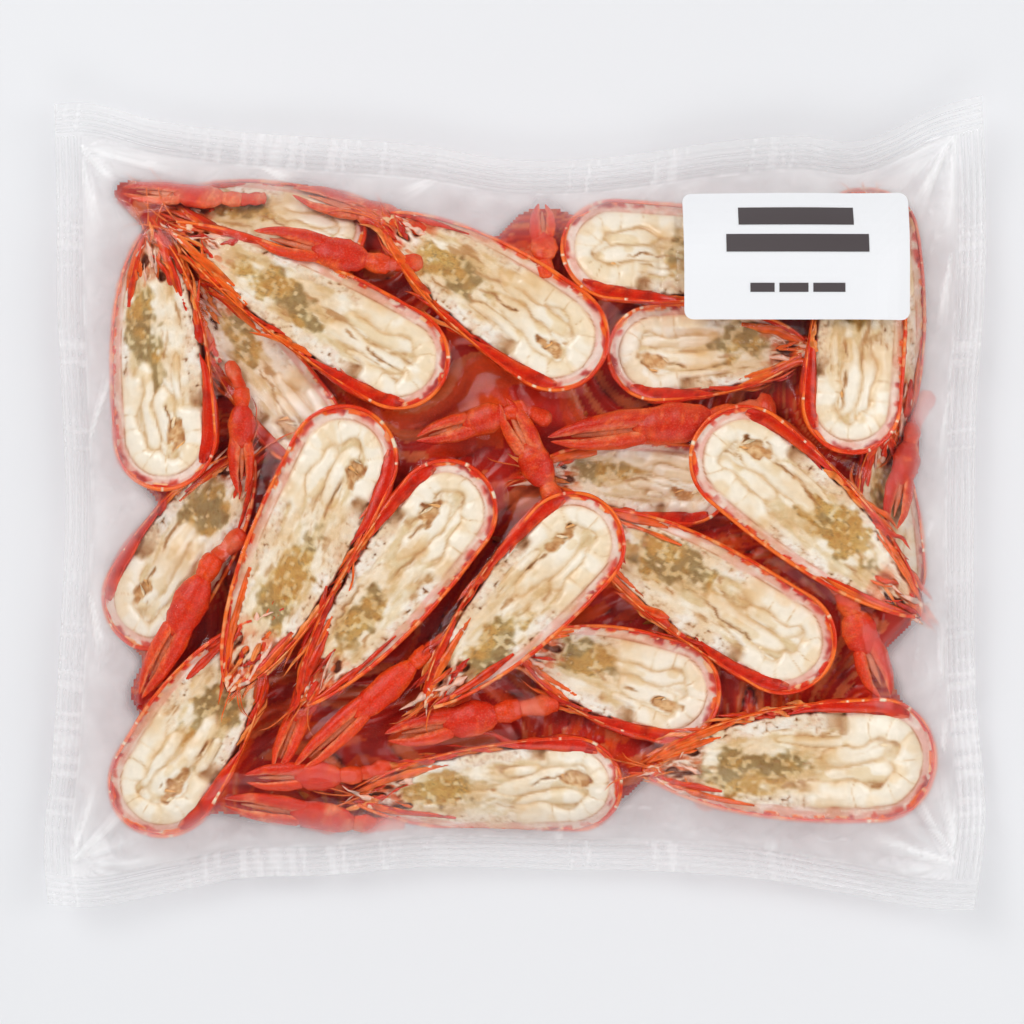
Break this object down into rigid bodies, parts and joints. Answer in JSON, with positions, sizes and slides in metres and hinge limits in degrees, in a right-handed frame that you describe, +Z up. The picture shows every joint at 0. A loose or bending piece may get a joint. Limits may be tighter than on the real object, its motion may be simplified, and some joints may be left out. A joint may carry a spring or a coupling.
{
  "type": "sealed bag of halved cooked crayfish",
  "caption": "Clear sealed bag packed flat with cooked crayfish halves and claws, cut sides up, with a plain white label.",
  "frame": {"origin": "middle of the pack's outline in plan, on the surface that it lies on", "axes": "+X along the pack's long side, +Y along its short side towards the label, +Z up"},
  "size_m": [0.318, 0.274, 0.0351],
  "materials": {
    "bag": "glossy",
    "label": "satin",
    "film": "glossy",
    "shell": "glossy",
    "flesh": "satin"
  },
  "bodies": {
    "root": {"bag": "bag", "label": "label"}
  },
  "joints": []
}
